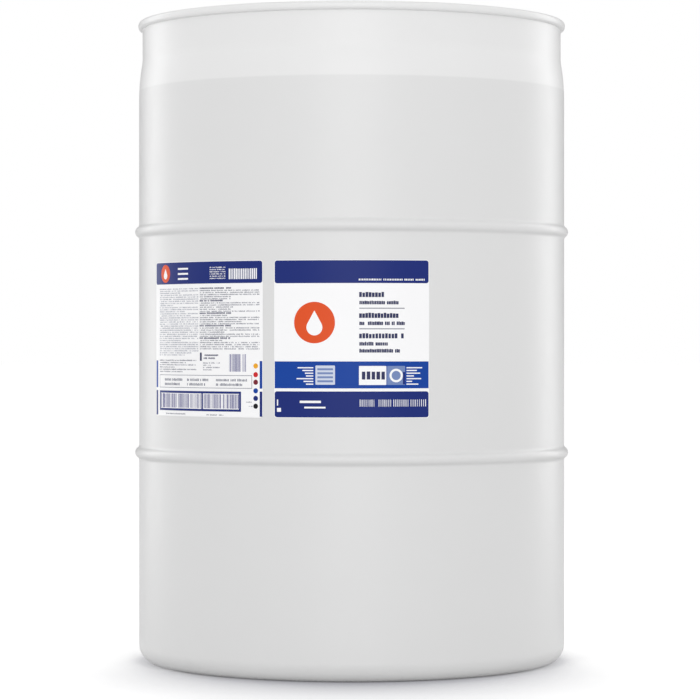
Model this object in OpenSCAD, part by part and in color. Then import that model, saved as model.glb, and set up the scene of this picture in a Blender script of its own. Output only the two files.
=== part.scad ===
// Closed-head plastic drum of 55 US gallons (208 litres) for liquid bleach, standing upright.
// The origin is at the middle of the base on the floor and +Z is up. The main label faces -Y,
// and the two closures stand on the X axis: the vented coarse plug at +X, the fine plug at -X.

/* [Body] */
// Outside diameter of the straight wall
body_d = 592; // [540:1:640]
// Height from the floor to the top of the handling ring
drum_h = 888; // [800:1:1000]
// Thickness of the blown wall
wall = 4; // [2.5:0.1:4.5]
// Outside radius where the wall turns under into the base
base_corner_r = 25; // [15:1:40]

/* [Base] */
// Width of the flat ring that the drum stands on
foot_w = 14; // [8:1:30]
// Radius of the inner edge of the standing ring
foot_edge_r = 6; // [5:0.5:9]
// Depth of the recess inside the standing ring
base_recess_h = 12; // [10:1:20]
// Flat width between the edge of the recess and its dome
base_flat_w = 14; // [6:1:40]
// How much higher the dome of the recess is in the middle
base_dome_h = 8; // [3:1:14]

/* [Rolling ribs] */
// How far the two rolling ribs stand out from the wall
rib_out = 5.5; // [3:0.1:9]
// Distance between the middles of the two ribs
rib_spacing = 305.6; // [240:0.1:380]
// Radius of a rib's crest
rib_crest_r = 8; // [6:0.5:12]
// Radius of the hollow where a rib meets the wall
rib_root_r = 5; // [3:0.5:10]

/* [Shoulder] */
// Distance from the top of the ring down to where the wall starts to draw in
shoulder_drop = 107.4; // [100:1:180]
// Height over which the wall draws in
shoulder_h = 58; // [45:1:60]
// How far the upper wall stands in from the body wall
neck_in = 4.8; // [2:0.1:9]
// Radius of the hollow upper part of the shoulder
shoulder_hollow_r = 71; // [20:1:120]

/* [Handling ring] */
// How far the lip of the handling ring stands out over the upper wall
lip_out = 5.8; // [5:0.1:12]
// Height of that lip
lip_h = 11; // [10:0.5:20]
// Radius of the lip's outer edges
lip_edge_r = 4.5; // [1:0.1:4.9]
// Thickness of the upright ring wall under the lip
ring_wall = 9; // [6:0.5:14]
// Radius of the lip's inner edge
lip_inner_r = 2; // [1:0.5:4]

/* [Deck] */
// Distance from the top of the ring down to the deck's gutter
deck_drop = 43; // [40:1:48]
// Radius where the deck meets the ring wall
deck_corner_r = 10; // [4:1:16]
// Width of the flat gutter round the deck, from the ring wall
gutter_w = 26; // [20:1:32]
// How much higher the deck is in the middle than in the gutter
deck_crown_h = 8; // [3:1:12]

/* [Closures] */
// Distance from the body wall in to the axis of each closure
bung_in = 90; // [88:1:130]
// Outside diameter of the closures' thread
thread_d = 59.6; // [56:0.1:62]
// Depth of the thread on the plugs
thread_depth = 1.5; // [1:0.1:2]
// Room between the crest of a plug's thread and the bore of the neck
thread_play = 0.3; // [0.2:0.1:0.6]
// Thickness of the necks' walls
bung_wall = 6; // [5:0.5:9]
// Distance from the top of the ring down to the top face of the necks
bung_drop = 21; // [19:0.5:24]
// How far the necks reach down below the gutter
bung_skirt = 6; // [4:0.5:12]
// Width of the flat pad round each neck
pad_w = 7; // [4:0.5:10]
// Height of the pad above the gutter
pad_h = 8; // [7:0.5:10]

/* [Plugs] */
// How far a plug's flange stands out over its thread
flange_out = 7.7; // [6:0.1:9]
// Thickness of the flange
flange_h = 6; // [5:0.5:7]
// Length of a plug below its flange
plug_len = 24; // [20:0.5:30]
// Thickness of the plug's tube inside its thread
plug_wall = 4; // [3:0.5:5]
// Thickness of the plug's floor
plug_floor = 4; // [3:0.5:6]
// Number of grip notches round the flange
notch_count = 24; // [12:1:30]
// Radius of a grip notch
notch_r = 2; // [1:0.5:3]
// How far the four wrench lugs stand into the plug
lug_out = 5; // [3:0.5:6]
// Width of a wrench lug
lug_w = 8; // [5:0.5:12]
// How far the lugs stay below the top of the flange
lug_drop = 3; // [1:0.5:8]

/* [Gaskets] */
// Thickness of a gasket
gasket_h = 2.5; // [1.5:0.5:3]
// Width of the gasket's ring
gasket_w = 5; // [3:0.5:5.5]

/* [Vent] */
// Diameter of the vent hole
vent_hole_d = 6; // [3:0.5:10]
// Diameter of the membrane that lets gas out
membrane_d = 15.4; // [13:0.2:17]
// Thickness of the membrane
membrane_h = 0.6; // [0.4:0.1:1]
// Outside diameter of the vent boss and of its cap
vent_boss_d = 22; // [20:0.5:26]
// Height of the boss above the floor of the plug
vent_boss_h = 4; // [3.6:0.2:6]
// Depth of the pocket in the boss
vent_pocket_h = 3; // [2.8:0.1:3.5]
// Thickness of the cap's disc
cap_h = 2; // [1.6:0.1:3]
// Wall of the cap's spigot
cap_wall = 1.5; // [1:0.1:2]
// Width of the gas slots under the cap
slot_w = 2; // [1:0.5:3]
// Depth of the gas slots
slot_h = 0.8; // [0.4:0.1:1.2]

/* [Tap centre] */
// Diameter of the blind hole for a 3/4 inch tap
tap_d = 23.4; // [20:0.1:26]
// Depth of the tap hole
tap_depth = 14; // [10:0.5:15]
// Wall of the boss round the tap hole
tap_wall = 4; // [3:0.5:6]
// Height of the boss above the floor of the plug
tap_boss_h = 12; // [12:0.5:15]

/* [Labels] */
// Width of each label along the wall
label_w = 206; // [120:1:260]
// Height of each label
label_h = 206; // [120:1:250]
// Space between the two labels along the wall
label_space = 16; // [2:1:60]
// How far the middle of the labels is above the middle of the ribs
label_raise = 4.3; // [-20:0.1:20]
// Thickness of the label film
label_t = 0.3; // [0.2:0.1:0.6]
// Thickness of the glue between the film and the wall
glue_t = 0.1; // [0.05:0.05:0.2]
// Corner radius of the labels
label_corner_r = 4; // [1:0.5:12]

/* [Filling] */
// Distance from the top of the ring down to the liquid
fill_drop = 96.3; // [60:1:400]
// Room between the liquid's solid and the wall
fill_play = 0.3; // [0.2:0.1:0.5]

/* [Hidden] */

$fn = 144;
// Segments of the very flat arcs of the deck and the base
flat_arc_fn = 720;
// Straight steps in each round corner of a label
corner_steps = 8;
// How far a cutting shape reaches past what it cuts
over = 1;
// Room between small pieces that are snapped together
snug = 0.3;

body_r = body_d / 2;
rib_mid_z = drum_h / 2;
rib_zs = [rib_mid_z - rib_spacing / 2, rib_mid_z + rib_spacing / 2];
// The crest circle and the root circles of a rib touch, which sets the rib's height
rib_reach = rib_crest_r + rib_root_r;
rib_half_h = sqrt(pow(rib_reach, 2) - pow(rib_reach - rib_out, 2));

shoulder_z0 = drum_h - shoulder_drop;
shoulder_z1 = shoulder_z0 + shoulder_h;
neck_r = body_r - neck_in;
// Two arcs that touch each other and stand upright at both ends draw the shoulder
shoulder_sweep = 2 * atan(neck_in / shoulder_h);
shoulder_round_r = shoulder_h / sin(shoulder_sweep) - shoulder_hollow_r;

lip_r = neck_r + lip_out;
lip_z = drum_h - lip_h;
ring_in_r = neck_r - ring_wall;
deck_z = drum_h - deck_drop;
crown_edge_r = ring_in_r - gutter_w;
crown_arc_r = (pow(crown_edge_r, 2) + pow(deck_crown_h, 2)) / (2 * deck_crown_h);

recess_corner_r = base_recess_h - foot_edge_r;
recess_r = body_r - base_corner_r - foot_w - foot_edge_r;
dome_edge_r = recess_r - recess_corner_r - base_flat_w;
dome_arc_r = (pow(dome_edge_r, 2) + pow(base_dome_h, 2)) / (2 * base_dome_h);

bung_r = body_r - bung_in;
bore_r = thread_d / 2 + thread_play;
bung_out_r = bore_r + bung_wall;
bung_z = drum_h - bung_drop;
pad_z = deck_z + pad_h;

flange_z = bung_z + gasket_h;
flange_top_z = flange_z + flange_h;
flange_r = thread_d / 2 + flange_out;
shank_r = thread_d / 2 - thread_depth;
cup_r = shank_r - plug_wall;
plug_z = flange_z - plug_len;
cup_z = plug_z + plug_floor;

pocket_r = membrane_d / 2 + snug;
pocket_z = cup_z + vent_boss_h - vent_pocket_h;
cap_z = cup_z + vent_boss_h;
spigot_r = pocket_r - snug;
tap_boss_z = cup_z + tap_boss_h;
tap_boss_r = tap_d / 2 + tap_wall;

fill_z = drum_h - fill_drop;
label_mid_z = rib_mid_z + label_raise;
label_half_angle = label_w / 2 / body_r * 180 / PI;
side_label_turn = (label_w + label_space) / body_r * 180 / PI;

// A band of a half section, from the axis out to r and from z0 up to z1
module band(r, z0, z1) {
    translate([0, z0]) square([r, z1 - z0]);
}

// One rolling rib in the half section, with its surface moved inwards by inset
module rib_section(inset, z) {
    inner_x = body_r - inset - over;
    root_x = body_r + rib_root_r;
    crest_x = body_r + rib_out - rib_crest_r;
    translate([0, z]) {
        difference() {
            polygon([
                [inner_x, -rib_half_h], [root_x, -rib_half_h], [crest_x, 0],
                [root_x, rib_half_h], [inner_x, rib_half_h]
            ]);
            for (side = [-1, 1])
                translate([root_x, side * rib_half_h]) circle(rib_root_r + inset);
        }
        translate([crest_x, 0]) circle(rib_crest_r - inset);
    }
}

// The part of the wall that draws in under the handling ring
module shoulder_section(inset) {
    round_x = body_r - shoulder_round_r;
    bend_z = shoulder_z0 + (shoulder_round_r - inset) * sin(shoulder_sweep);
    difference() {
        band(body_r - inset, shoulder_z0 - over, shoulder_z1);
        translate([round_x, shoulder_z0]) difference() {
            square([shoulder_round_r + over, bend_z - shoulder_z0]);
            circle(shoulder_round_r - inset, $fn = flat_arc_fn);
        }
        translate([neck_r + shoulder_hollow_r, shoulder_z1])
            circle(shoulder_hollow_r + inset, $fn = flat_arc_fn);
    }
}

// The space of the base recess, grown upwards and outwards by inset
module base_recess_section(inset) {
    difference() {
        translate([0, -over]) square([recess_r + foot_edge_r, foot_edge_r + over]);
        translate([recess_r + foot_edge_r, foot_edge_r]) circle(foot_edge_r - inset);
    }
    band(recess_r - recess_corner_r, foot_edge_r, base_recess_h + inset);
    translate([recess_r - recess_corner_r, foot_edge_r]) circle(recess_corner_r + inset);
    intersection() {
        translate([0, base_recess_h + base_dome_h - dome_arc_r])
            circle(dome_arc_r + inset, $fn = flat_arc_fn);
        band(recess_r, base_recess_h + inset, base_recess_h + base_dome_h + inset + over);
    }
}

// The half section of the body from the floor up to top_z, with its surface moved inwards
module body_section(inset, top_z) {
    difference() {
        union() {
            band(body_r - base_corner_r, inset, base_corner_r + over);
            translate([body_r - base_corner_r, base_corner_r]) circle(base_corner_r - inset);
            band(body_r - inset, base_corner_r, shoulder_z0);
            for (z = rib_zs) rib_section(inset, z);
            shoulder_section(inset);
            band(neck_r - inset, shoulder_z1 - over, top_z);
        }
        base_recess_section(inset);
    }
}

// The raised middle of the deck, above its gutter
module crown_section(inset) {
    intersection() {
        translate([0, deck_z + deck_crown_h - crown_arc_r])
            circle(crown_arc_r - inset, $fn = flat_arc_fn);
        band(ring_in_r, deck_z - inset - over, deck_z + deck_crown_h + over);
    }
}

// The open space above the deck, inside the handling ring
module deck_space_section() {
    corner_x = ring_in_r - deck_corner_r;
    corner_z = deck_z + deck_corner_r;
    difference() {
        union() {
            band(corner_x, deck_z, drum_h + over);
            band(ring_in_r, corner_z, drum_h + over);
            translate([corner_x, corner_z]) circle(deck_corner_r);
        }
        crown_section(0);
    }
}

// The lip of the handling ring, with rounded outer edges and a softened inner edge
module lip_section() {
    edge_x = lip_r - lip_edge_r;
    inner_x = ring_in_r + lip_inner_r;
    translate([inner_x, lip_z]) square([edge_x - inner_x, lip_h]);
    translate([ring_in_r, lip_z]) square([lip_r - ring_in_r - lip_edge_r, lip_h - lip_inner_r]);
    translate([edge_x, lip_z + lip_edge_r]) square([lip_edge_r, lip_h - 2 * lip_edge_r]);
    for (z = [lip_z + lip_edge_r, drum_h - lip_edge_r])
        translate([edge_x, z]) circle(lip_edge_r);
    translate([inner_x, drum_h - lip_inner_r]) circle(lip_inner_r);
}

// The hollow inside the drum, up to the underside of the deck
module cavity_section(inset) {
    intersection() {
        body_section(inset, drum_h);
        band(body_d, 0, deck_z - inset);
    }
    crown_section(inset);
}

// A threaded neck on its pad, still without its bore
module bung_neck() {
    low_z = deck_z - bung_skirt;
    translate([0, 0, low_z]) cylinder(r = bung_out_r, h = bung_z - low_z);
    translate([0, 0, low_z]) cylinder(r = bung_out_r + pad_w, h = pad_z - low_z);
}

// The bore of a neck, with a small lead-in at its mouth
module bung_bore() {
    low_z = deck_z - bung_skirt;
    translate([0, 0, low_z - over]) cylinder(r = bore_r, h = bung_z - low_z + 2 * over);
    translate([0, 0, bung_z - thread_depth / 2])
        cylinder(r1 = bore_r, r2 = bore_r + thread_depth, h = thread_depth);
}

// The drum: one blown moulding with its ring, ribs, deck, base and necks
module drum_body() {
    color([0.92, 0.92, 0.91])
    difference() {
        union() {
            rotate_extrude() difference() {
                union() {
                    body_section(0, lip_z + over);
                    lip_section();
                }
                deck_space_section();
                cavity_section(wall);
            }
            for (side = [-1, 1]) translate([side * bung_r, 0, 0]) bung_neck();
        }
        for (side = [-1, 1]) translate([side * bung_r, 0, 0]) bung_bore();
    }
}

// The liquid, up to the level that shows through the wall
module bleach() {
    color([0.86, 0.88, 0.84])
    rotate_extrude() intersection() {
        cavity_section(wall + fill_play);
        band(body_d, 0, fill_z);
    }
}

// A rectangle with rounded corners, about the origin
module rounded_plate(w, h, r) {
    polygon([
        for (quarter = [0 : 3], step = [0 : corner_steps])
            let (turn = 90 * quarter + 90 * step / corner_steps)
            [
                (quarter == 0 || quarter == 3 ? 1 : -1) * (w / 2 - r) + r * cos(turn),
                (quarter < 2 ? 1 : -1) * (h / 2 - r) + r * sin(turn)
            ]
    ]);
}

// A label film wrapped on the wall, with its middle turned from -Y
module wrapped_label(turn) {
    half_chord = body_r * sin(label_half_angle);
    rotate([0, 0, -turn]) intersection() {
        translate([0, 0, label_mid_z - label_h / 2 - over]) difference() {
            cylinder(r = body_r + glue_t + label_t, h = label_h + 2 * over);
            translate([0, 0, -over]) cylinder(r = body_r + glue_t, h = label_h + 4 * over);
        }
        translate([0, -body_r / 2, label_mid_z]) rotate([90, 0, 0])
            linear_extrude(height = body_r) rounded_plate(2 * half_chord, label_h, label_corner_r);
    }
}

module front_label() {
    color([0.16, 0.25, 0.55]) wrapped_label(0);
}

module side_label() {
    color([0.9, 0.91, 0.94]) wrapped_label(side_label_turn);
}

// A plug's cup with its flange, grip notches and wrench lugs, on its own axis
module plug_blank() {
    difference() {
        union() {
            translate([0, 0, plug_z]) cylinder(r = shank_r, h = flange_z - plug_z + over);
            translate([0, 0, flange_z]) cylinder(r = flange_r, h = flange_h);
        }
        translate([0, 0, cup_z]) cylinder(r = cup_r, h = flange_top_z - cup_z + over);
        for (i = [0 : notch_count - 1])
            rotate([0, 0, i * 360 / notch_count])
                translate([flange_r + notch_r / 2, 0, flange_z - over])
                    cylinder(r = notch_r, h = flange_h + 2 * over, $fn = 48);
    }
    for (i = [0 : 3]) intersection() {
        rotate([0, 0, i * 90])
            translate([cup_r - lug_out, -lug_w / 2, cup_z - over])
                cube([lug_out + over, lug_w, flange_top_z - lug_drop - cup_z + over]);
        translate([0, 0, cup_z - over])
            cylinder(r = cup_r + over, h = flange_top_z - cup_z);
    }
}

// The vented plug with the coarse thread
module coarse_plug() {
    color([0.9, 0.9, 0.88])
    translate([bung_r, 0, 0]) difference() {
        union() {
            plug_blank();
            translate([0, 0, cup_z - over]) cylinder(d = vent_boss_d, h = vent_boss_h + over);
        }
        translate([0, 0, pocket_z]) cylinder(r = pocket_r, h = vent_pocket_h + over);
        translate([0, 0, plug_z - over])
            cylinder(d = vent_hole_d, h = pocket_z - plug_z + 2 * over);
    }
}

// The gas-tight disc in the pocket of the vent
module vent_membrane() {
    color([0.97, 0.97, 0.97])
    translate([bung_r, 0, pocket_z]) cylinder(d = membrane_d, h = membrane_h);
}

// The cap over the vent, with a spigot in the pocket and slots for the gas
module vent_cap() {
    spigot_h = vent_pocket_h - membrane_h - snug;
    color([0.85, 0.86, 0.88])
    translate([bung_r, 0, cap_z]) difference() {
        union() {
            cylinder(d = vent_boss_d, h = cap_h);
            translate([0, 0, -spigot_h]) cylinder(r = spigot_r, h = spigot_h + cap_h / 2);
        }
        translate([0, 0, -spigot_h - over])
            cylinder(r = spigot_r - cap_wall, h = spigot_h + over);
        for (turn = [0, 90]) rotate([0, 0, turn])
            translate([-vent_boss_d, -slot_w / 2, -spigot_h - over])
                cube([2 * vent_boss_d, slot_w, spigot_h + over + slot_h]);
    }
}

// The plug with the fine thread and a blind centre for a tap
module fine_plug() {
    color([0.9, 0.9, 0.88])
    translate([-bung_r, 0, 0]) difference() {
        union() {
            plug_blank();
            translate([0, 0, cup_z - over]) cylinder(r = tap_boss_r, h = tap_boss_h + over);
        }
        translate([0, 0, tap_boss_z - tap_depth]) cylinder(d = tap_d, h = tap_depth + over);
    }
}

// A flat ring between a neck's top face and a plug's flange
module gasket() {
    in_r = bore_r + snug;
    translate([0, 0, bung_z]) difference() {
        cylinder(r = in_r + gasket_w, h = gasket_h);
        translate([0, 0, -over]) cylinder(r = in_r, h = gasket_h + 2 * over);
    }
}

module coarse_gasket() {
    color([0.85, 0.85, 0.83]) translate([bung_r, 0, 0]) gasket();
}

module fine_gasket() {
    color([0.85, 0.85, 0.83]) translate([-bung_r, 0, 0]) gasket();
}

drum_body();
bleach();
front_label();
side_label();
coarse_plug();
coarse_gasket();
vent_membrane();
vent_cap();
fine_plug();
fine_gasket();
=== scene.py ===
# %% [markdown]
# # A closed-head drum of liquid bleach
# A drum of this kind is blown in one piece from polyethylene: a straight wall with two rolling
# ribs, a drawn-in shoulder, a handling ring and a sunken deck with two threaded necks. The wall
# is milky, so the level of the liquid shows as a step in tone. This script dresses the packed
# CAD model, which stays the fixed frame, so every size here is that model's size in metres.

# %% Load the frame
import math
import random

import bmesh
import bpy
from mathutils import Matrix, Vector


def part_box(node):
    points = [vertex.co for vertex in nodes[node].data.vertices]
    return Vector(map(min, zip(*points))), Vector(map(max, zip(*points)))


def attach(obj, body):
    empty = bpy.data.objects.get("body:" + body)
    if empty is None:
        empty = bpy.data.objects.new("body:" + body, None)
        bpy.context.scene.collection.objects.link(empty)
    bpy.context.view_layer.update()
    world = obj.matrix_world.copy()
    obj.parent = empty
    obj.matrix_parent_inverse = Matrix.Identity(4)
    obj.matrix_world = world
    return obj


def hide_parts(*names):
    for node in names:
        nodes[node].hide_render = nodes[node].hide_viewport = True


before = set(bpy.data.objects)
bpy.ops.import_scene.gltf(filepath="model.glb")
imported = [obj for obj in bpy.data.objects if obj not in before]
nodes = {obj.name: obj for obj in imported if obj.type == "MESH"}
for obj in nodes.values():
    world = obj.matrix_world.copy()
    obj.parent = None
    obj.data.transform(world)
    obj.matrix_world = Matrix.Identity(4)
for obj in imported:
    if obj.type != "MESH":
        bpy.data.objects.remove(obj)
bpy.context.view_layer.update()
print("nodes:", ", ".join(sorted(nodes)))

# %% [markdown]
# ## Sizes
# The heights and places come from the boxes of the CAD nodes where a box shows them. Radii of
# fillets and the depth of the ribs can't be read from a box, so they are repeated here from the
# CAD model, written in millimetres times MM.

# %% Sizes read from the frame and repeated from the CAD model
MM = 0.001

drum_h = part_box("drum_body")[1][2]
fill_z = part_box("bleach")[1][2]
label_low_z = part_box("front_label")[0][2]
label_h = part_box("front_label")[1][2] - label_low_z
gasket_low, gasket_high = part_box("coarse_gasket")
bung_r = (gasket_low[0] + gasket_high[0]) / 2
bung_z = gasket_low[2]
plug_low_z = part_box("coarse_plug")[0][2]

body_r = 296 * MM
wall = 4 * MM
base_corner_r = 25 * MM
foot_w = 14 * MM
foot_edge_r = 6 * MM
base_recess_h = 12 * MM
base_flat_w = 14 * MM
base_dome_h = 8 * MM
rib_out = 5.5 * MM
rib_spacing = 305.6 * MM
rib_crest_r = 8 * MM
rib_root_r = 5 * MM
shoulder_drop = 107.4 * MM
shoulder_h = 58 * MM
neck_in = 4.8 * MM
shoulder_hollow_r = 71 * MM
lip_out = 5.8 * MM
lip_h = 11 * MM
lip_edge_r = 4.5 * MM
ring_wall = 9 * MM
lip_inner_r = 2 * MM
deck_drop = 43 * MM
deck_corner_r = 10 * MM
gutter_w = 26 * MM
deck_crown_h = 8 * MM
thread_r = 29.8 * MM
thread_depth = 1.5 * MM
thread_play = 0.3 * MM
bung_wall = 6 * MM
bung_skirt = 6 * MM
pad_w = 7 * MM
pad_h = 8 * MM
neck_r = body_r - neck_in
ring_in_r = neck_r - ring_wall
deck_z = drum_h - deck_drop
print(f"drum {2 * body_r:.3f} m across and {drum_h:.3f} m high, liquid up to {fill_z:.3f} m")

# %% Put an object in the scene
def new_object(name, data):
    """An object with this data, linked to the scene."""
    made = bpy.data.objects.new(name, data)
    bpy.context.collection.objects.link(made)
    return made


# %% [markdown]
# ## Camera
# The photo was taken level, from about half the drum's height and far away. The distance comes
# from how round the top ring and the base look, and the lens from the drum's width. The shift
# puts the drum's axis and the horizon where the photo has them.

# %% Make the camera
photo_px = 700
focal_px = 3014
sensor_w = 36.0
eye_distance = 4.209
eye_z = 0.4441
axis_px = 351.64
horizon_px = 342.1
far_end = 60

camera_data = bpy.data.cameras.new("camera")
camera_data.sensor_width = sensor_w
camera_data.lens = focal_px / photo_px * sensor_w
camera_data.shift_x = (photo_px / 2 - axis_px) / photo_px
camera_data.shift_y = (horizon_px - photo_px / 2) / photo_px
camera_data.clip_end = far_end
camera = new_object("camera", camera_data)
camera.location = (0, -eye_distance, eye_z)
camera.rotation_euler = (math.radians(90), 0, 0)
bpy.context.scene.camera = camera
print(f"lens {camera_data.lens:.1f} mm, shift {camera_data.shift_x:.4f}, {camera_data.shift_y:.4f}")

# %% [markdown]
# ## Node helpers
# Both shader trees and geometry trees are built from the same few moves: add a node, set its
# sockets or feed them from another node, and take its output. These helpers keep the trees
# below short enough to read.

# %% Helpers for node trees
def feed(tree, node, inputs):
    """Sets a node's inputs by name or number, or feeds them from sockets. A node given as a
    value stands for its first output."""
    for key, value in inputs.items():
        if isinstance(value, bpy.types.Node):
            value = value.outputs[0]
        if isinstance(value, bpy.types.NodeSocket):
            tree.links.new(value, node.inputs[key])
        else:
            node.inputs[key].default_value = value


def add_node(tree, kind, inputs=None, **settings):
    """A new node with these inputs and options."""
    node = tree.nodes.new(kind)
    for name, value in settings.items():
        setattr(node, name, value)
    feed(tree, node, inputs or {})
    return node


def calculate(tree, operation, *values):
    """The output of a Math node."""
    return add_node(tree, "ShaderNodeMath", dict(enumerate(values)), operation=operation).outputs[0]


def times(tree, first, second):
    """The product of two values."""
    return calculate(tree, "MULTIPLY", first, second)


def ramp(tree, value, start, stop, low=0.0, high=1.0, kind="LINEAR"):
    """Takes start to low and stop to high, and holds the value beyond both ends."""
    return add_node(tree, "ShaderNodeMapRange", {
        "Value": value, "From Min": start, "From Max": stop, "To Min": low, "To Max": high,
    }, interpolation_type=kind).outputs["Result"]


def split(tree, vector):
    """The X, Y and Z of a vector."""
    return add_node(tree, "ShaderNodeSeparateXYZ", {0: vector}).outputs


def object_place(tree):
    """Where a point lies on its object, in metres."""
    return add_node(tree, "ShaderNodeTexCoord").outputs["Object"]


def cleared_tree(owner):
    """The node tree of a world or a material, emptied."""
    owner.use_nodes = True
    owner.node_tree.nodes.clear()
    return owner.node_tree


SOCKET_OF = {float: "NodeSocketFloat", int: "NodeSocketInt", tuple: "NodeSocketVector"}


def new_group(name, kind, inputs, outputs):
    """A node group: its tree, its input sockets and its output node. An input is given by its
    default value, or by its socket type if it has none."""
    tree = bpy.data.node_groups.new(name, kind)
    for label, value in inputs.items():
        socket_type = SOCKET_OF.get(type(value), value)
        socket = tree.interface.new_socket(name=label, in_out="INPUT", socket_type=socket_type)
        if socket_type != value:
            socket.default_value = value
    for label, socket_type in outputs.items():
        tree.interface.new_socket(name=label, in_out="OUTPUT", socket_type=socket_type)
    given = tree.nodes.new("NodeGroupInput").outputs
    return tree, given, tree.nodes.new("NodeGroupOutput")


# %% [markdown]
# ## Studio
# The drum stands on a white floor before white. The camera sees pure white behind it, while the
# drum itself is lit by a plain grey-white world and a few large soft lights. Two tall soft boxes
# behind the drum draw the bright stripes along its sides, and one before it makes the broad
# highlight down the middle. Reflections keep the studio's dark back, which draws the edges.

# %% World: white where it is seen, soft grey light for everything else
SIDE_LIGHT = 1.0
BACK_LIGHT = 0.10
BACK_RANGE = (0.70, 0.92)
TOP_SHARE = 0.70
TOP_RANGE = (0.35, 1.0)


def make_world():
    """The light fades towards the back and overhead, by the Y and Z of the direction."""
    world = bpy.data.worlds.new("studio")
    tree = cleared_tree(world)
    toward = split(tree, add_node(tree, "ShaderNodeTexCoord").outputs["Generated"])
    overhead = ramp(tree, toward["Z"], *TOP_RANGE, 1.0, TOP_SHARE, "SMOOTHSTEP")
    level = ramp(tree, toward["Y"], *BACK_RANGE, SIDE_LIGHT, BACK_LIGHT, "SMOOTHSTEP")
    strength = times(tree, level, overhead)
    light = add_node(tree, "ShaderNodeBackground", {"Color": (1, 1, 1, 1), "Strength": strength})
    seen = add_node(tree, "ShaderNodeBackground", {"Color": (1, 1, 1, 1), "Strength": 1.0})
    rays = add_node(tree, "ShaderNodeLightPath").outputs
    shown = calculate(tree, "MAXIMUM", rays["Is Camera Ray"], rays["Is Transmission Ray"])
    mixed = add_node(tree, "ShaderNodeMixShader", {0: shown, 1: light, 2: seen})
    add_node(tree, "ShaderNodeOutputWorld", {"Surface": mixed})
    bpy.context.scene.world = world


make_world()
bpy.context.scene.view_settings.view_transform = "Standard"

# %% Soft boxes, each given by the brightness of its face
def soft_box(name, azimuth, distance, width, height, mid_z, brightness):
    """A tall area light that stands round the drum, azimuth degrees from the camera's side."""
    data = bpy.data.lights.new(name, "AREA")
    data.shape = "RECTANGLE"
    data.size = width
    data.size_y = height
    data.energy = brightness * math.pi * width * height
    light = new_object(name, data)
    turn = math.radians(azimuth)
    light.location = (distance * math.sin(turn), -distance * math.cos(turn), mid_z)
    light.rotation_euler = (math.radians(90), 0, turn)
    light.visible_camera = False


STRIPE_AZIMUTH = 126
for side, place in ((1, "right"), (-1, "left")):
    soft_box(f"stripe_{place}", side * STRIPE_AZIMUTH, distance=3.0, width=1.0, height=2.6,
             mid_z=1.0, brightness=1.85)
soft_box("front", 0, distance=5.5, width=3.0, height=3.2, mid_z=1.3, brightness=1.8)
print("lights:", ", ".join(light.name for light in bpy.data.lights))

# %% Floor, a white sheet that shows only the shadow, which is painted round the foot
FLOOR_GLOW = 0.40
FLOOR_WHITE = 0.78
# The shadow round the foot is painted from the floor's ambient occlusion; these set its reach, depth,
# bluish tint and fade round the sides.
SHADOW_REACH = 0.42
SHADOW_DEPTH = 0.58
SHADOW_RANGE = (0.95, 0.56)
SHADOW_TINT = (1.0, 1.0, 0.95)
SIDE_FADE = 0.5
CONTACT_DEPTH = 0.32
CONTACT_RANGE = (0.635, 0.53)
MIRROR_SHARE = 0.6
MIRROR_RANGE = (0.78, 0.90)


def make_floor():
    """White where it is open, with a painted shadow near the foot: the floor's ambient occlusion
    darkens it where the camera and reflections see it. The painted shadow reaches far towards the
    camera and fades round the sides, as a backdrop brighter than its front would cast it. The glow is
    mirrored in the drum only from beside it."""
    mesh = bpy.data.meshes.new("floor")
    corners = [(x * far_end, y * far_end, 0) for x, y in ((-1, -1), (1, -1), (1, 1), (-1, 1))]
    mesh.from_pydata(corners, [], [(0, 1, 2, 3)])
    floor = new_object("floor", mesh)
    material = bpy.data.materials.new("floor_white")
    tree = cleared_tree(material)
    rays = add_node(tree, "ShaderNodeLightPath").outputs
    toward = split(tree, add_node(tree, "ShaderNodeVectorMath", {0: object_place(tree)},
                                  operation="NORMALIZE"))
    fade = calculate(tree, "MULTIPLY_ADD", toward["Y"], SIDE_FADE, SIDE_FADE)
    beside = ramp(tree, calculate(tree, "ABSOLUTE", toward["X"]), *MIRROR_RANGE,
                  high=MIRROR_SHARE, kind="SMOOTHSTEP")
    # Painted shadow: the ambient occlusion round the foot darkens the floor for camera and glossy
    # rays.
    openness = add_node(tree, "ShaderNodeAmbientOcclusion", {"Distance": SHADOW_REACH},
                        samples=16).outputs["AO"]
    wide = ramp(tree, openness, *SHADOW_RANGE, high=SHADOW_DEPTH)
    tight = ramp(tree, openness, *CONTACT_RANGE, high=CONTACT_DEPTH)
    shown = calculate(tree, "MAXIMUM", rays["Is Camera Ray"], rays["Is Glossy Ray"])
    hidden = calculate(tree, "MAXIMUM", calculate(tree, "SUBTRACT", wide, fade), tight)
    painted_shadow = times(tree, hidden, shown)
    shades = [calculate(tree, "SUBTRACT", 1.0, times(tree, painted_shadow, share)) for share in SHADOW_TINT]
    shade = add_node(tree, "ShaderNodeCombineColor", dict(enumerate(shades)))
    white = add_node(tree, "ShaderNodeCombineColor", {
        i: times(tree, level, FLOOR_WHITE) for i, level in enumerate(shades)})
    paint = add_node(tree, "ShaderNodeBsdfDiffuse", {"Color": white})
    mirrored = times(tree, rays["Is Glossy Ray"], beside)
    lit = calculate(tree, "MAXIMUM", rays["Is Camera Ray"], mirrored)
    glow = add_node(tree, "ShaderNodeEmission", {
        "Color": shade, "Strength": times(tree, lit, FLOOR_GLOW)})
    both = add_node(tree, "ShaderNodeAddShader", {0: paint, 1: glow})
    add_node(tree, "ShaderNodeOutputMaterial", {"Surface": both})
    mesh.materials.append(material)


make_floor()

# %% [markdown]
# ## Plastic
# Blown and moulded plastic is never quite even: its skin has a faint orange peel and a fine
# grain, and its colour drifts a little. One shader group makes that skin for all the plastics
# and rubbers, and each material sets how coarse and how strong it is.

# %% The moulded skin group
# The patches of drift are this many peel sizes wide, and the roughness swings with the peel.
DRIFT_SIZE = 6.0
ROUGHNESS_SWING = 0.12


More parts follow.
